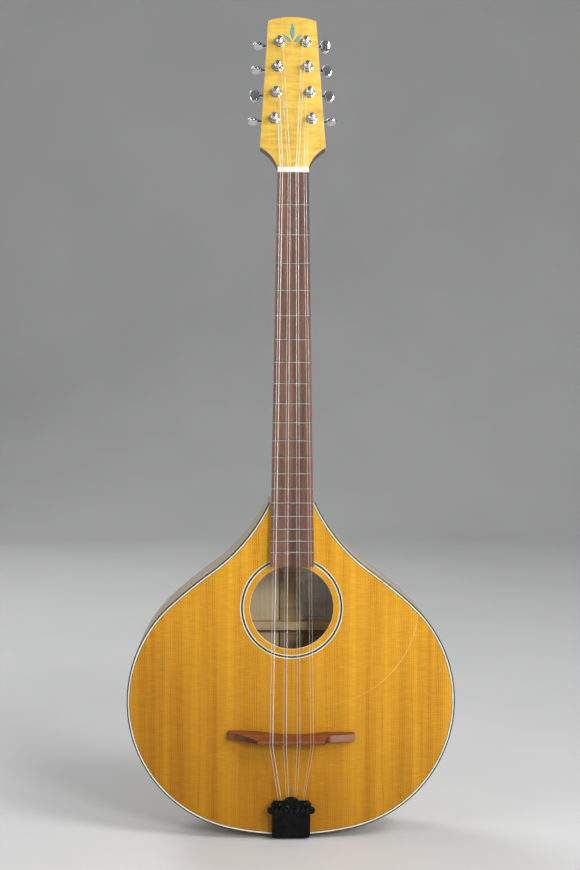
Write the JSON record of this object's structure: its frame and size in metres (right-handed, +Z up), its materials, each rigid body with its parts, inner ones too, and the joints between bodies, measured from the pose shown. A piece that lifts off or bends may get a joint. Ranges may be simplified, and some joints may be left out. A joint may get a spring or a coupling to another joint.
{
  "type": "flat-back bouzouki",
  "caption": "Drop-shaped flat-back bouzouki in four courses, with a long neck, a floating bridge, a black tailpiece and geared tuners.",
  "frame": {"origin": "outer face of the rim at the middle of the tail, halfway through the body's depth there", "axes": "+Z up the body's centreline towards the head, -Y out of the soundboard, +X to the treble side"},
  "size_m": [0.3784, 0.1188, 0.9543],
  "materials": {
    "spruce_top": "satin lacquer",
    "back_wood": "satin lacquer",
    "rim_wood": "satin lacquer",
    "inner_spruce": "bare",
    "black_binding": "gloss",
    "cream_line": "gloss",
    "dark_line": "gloss",
    "paper": "matte paper",
    "neck_wood": "satin lacquer",
    "rosewood": "oiled",
    "bridge_rosewood": "oiled",
    "flamed_maple": "gloss lacquer",
    "abalone": "polished shell",
    "bone": "polished bone",
    "fret_metal": "polished nickel silver",
    "plain_steel": "drawn wire",
    "rod_steel": "plain",
    "chrome": "polished",
    "black_metal": "black plate",
    "pearl_button": "polished"
  },
  "bodies": {
    "body": {"soundboard_bass": "spruce_top", "soundboard_treble": "spruce_top", "back_bass": "back_wood", "back_treble": "back_wood", "rim_bass": "rim_wood", "rim_treble": "rim_wood", "tail_wedge": "neck_wood", "neck_block": "inner_spruce", "tail_block": "inner_spruce", "top_linings": "inner_spruce", "back_linings": "inner_spruce", "top_braces": "inner_spruce", "back_braces": "inner_spruce", "back_strip": "inner_spruce", "top_binding": "black_binding", "back_binding": "black_binding", "purfling_cream": "cream_line", "purfling_black": "dark_line", "rosette_cream": "cream_line", "rosette_black": "dark_line", "label": "paper", "neck": "neck_wood", "heel_cap": "rosewood", "truss_rod": "rod_steel", "fingerboard": "rosewood", "board_wedge": "rosewood", "frets": "fret_metal", "nut": "bone", "side_dots": "bone", "head_veneer": "flamed_maple", "head_inlay": "abalone", "strap_button": "pearl_button", "tailpiece_base": "black_metal", "tailpiece_screws": "chrome", "string_course_1": "plain_steel", "string_course_2": "plain_steel", "string_course_3": "plain_steel", "string_course_4": "plain_steel", "tuner_housings": "chrome", "tuner_bushings": "chrome", "tuner_screws": "chrome"},
    "tailpiece_cover": {"tailpiece_cover": "black_metal"},
    "bridge": {"bridge": "bridge_rosewood"},
    "tuner_button_1": {"tuner_button_1": "chrome"},
    "tuner_post_1": {"tuner_post_1": "chrome"},
    "tuner_button_2": {"tuner_button_2": "chrome"},
    "tuner_post_2": {"tuner_post_2": "chrome"},
    "tuner_button_3": {"tuner_button_3": "chrome"},
    "tuner_post_3": {"tuner_post_3": "chrome"},
    "tuner_button_4": {"tuner_button_4": "chrome"},
    "tuner_post_4": {"tuner_post_4": "chrome"},
    "tuner_button_5": {"tuner_button_5": "chrome"},
    "tuner_post_5": {"tuner_post_5": "chrome"},
    "tuner_button_6": {"tuner_button_6": "chrome"},
    "tuner_post_6": {"tuner_post_6": "chrome"},
    "tuner_button_7": {"tuner_button_7": "chrome"},
    "tuner_post_7": {"tuner_post_7": "chrome"},
    "tuner_button_8": {"tuner_button_8": "chrome"},
    "tuner_post_8": {"tuner_post_8": "chrome"}
  },
  "joints": [
    {"name": "tailpiece_cover_slide", "type": "slide", "parent": "body", "child": "tailpiece_cover", "axis": [0, 0, 1], "range_m": [0, 0.006]},
    {"name": "bridge_shift", "type": "slide", "parent": "body", "child": "bridge", "axis": [0, 0, 1], "range_m": [-0.002, 0.002]},
    {"name": "button_1_turn", "type": "hinge", "parent": "body", "child": "tuner_button_1", "pos_m": [-0.0215, 0.00624, 0.82708], "axis": [-1, 0, 0], "continuous": true},
    {"name": "post_1_turn", "type": "hinge", "parent": "body", "child": "tuner_post_1", "pos_m": [-0.0215, -0.01491, 0.82568], "axis": [0, -0.9636, 0.2672], "continuous": true},
    {"name": "button_2_turn", "type": "hinge", "parent": "body", "child": "tuner_button_2", "pos_m": [-0.01943, 0.01492, 0.8584], "axis": [-1, 0, 0], "continuous": true},
    {"name": "post_2_turn", "type": "hinge", "parent": "body", "child": "tuner_post_2", "pos_m": [-0.01943, -0.00622, 0.857], "axis": [0, -0.9636, 0.2672], "continuous": true},
    {"name": "button_3_turn", "type": "hinge", "parent": "body", "child": "tuner_button_3", "pos_m": [-0.01736, 0.02361, 0.88972], "axis": [-1, 0, 0], "continuous": true},
    {"name": "post_3_turn", "type": "hinge", "parent": "body", "child": "tuner_post_3", "pos_m": [-0.01736, 0.00247, 0.88832], "axis": [0, -0.9636, 0.2672], "continuous": true},
    {"name": "button_4_turn", "type": "hinge", "parent": "body", "child": "tuner_button_4", "pos_m": [-0.01537, 0.03197, 0.91988], "axis": [-1, 0, 0], "continuous": true},
    {"name": "post_4_turn", "type": "hinge", "parent": "body", "child": "tuner_post_4", "pos_m": [-0.01537, 0.01083, 0.91848], "axis": [0, -0.9636, 0.2672], "continuous": true},
    {"name": "button_5_turn", "type": "hinge", "parent": "body", "child": "tuner_button_5", "pos_m": [0.01537, 0.03197, 0.91988], "axis": [1, 0, 0], "continuous": true},
    {"name": "post_5_turn", "type": "hinge", "parent": "body", "child": "tuner_post_5", "pos_m": [0.01537, 0.01083, 0.91848], "axis": [0, -0.9636, 0.2672], "continuous": true},
    {"name": "button_6_turn", "type": "hinge", "parent": "body", "child": "tuner_button_6", "pos_m": [0.01736, 0.02361, 0.88972], "axis": [1, 0, 0], "continuous": true},
    {"name": "post_6_turn", "type": "hinge", "parent": "body", "child": "tuner_post_6", "pos_m": [0.01736, 0.00247, 0.88832], "axis": [0, -0.9636, 0.2672], "continuous": true},
    {"name": "button_7_turn", "type": "hinge", "parent": "body", "child": "tuner_button_7", "pos_m": [0.01943, 0.01492, 0.8584], "axis": [1, 0, 0], "continuous": true},
    {"name": "post_7_turn", "type": "hinge", "parent": "body", "child": "tuner_post_7", "pos_m": [0.01943, -0.00622, 0.857], "axis": [0, -0.9636, 0.2672], "continuous": true},
    {"name": "button_8_turn", "type": "hinge", "parent": "body", "child": "tuner_button_8", "pos_m": [0.0215, 0.00624, 0.82708], "axis": [1, 0, 0], "continuous": true},
    {"name": "post_8_turn", "type": "hinge", "parent": "body", "child": "tuner_post_8", "pos_m": [0.0215, -0.01491, 0.82568], "axis": [0, -0.9636, 0.2672], "continuous": true}
  ],
  "couplings": [
    {"joint": "post_1_turn", "follows": "button_1_turn", "ratio": 0.066667},
    {"joint": "post_2_turn", "follows": "button_2_turn", "ratio": 0.066667},
    {"joint": "post_3_turn", "follows": "button_3_turn", "ratio": 0.066667},
    {"joint": "post_4_turn", "follows": "button_4_turn", "ratio": 0.066667},
    {"joint": "post_5_turn", "follows": "button_5_turn", "ratio": 0.066667},
    {"joint": "post_6_turn", "follows": "button_6_turn", "ratio": 0.066667},
    {"joint": "post_7_turn", "follows": "button_7_turn", "ratio": 0.066667},
    {"joint": "post_8_turn", "follows": "button_8_turn", "ratio": 0.066667}
  ]
}
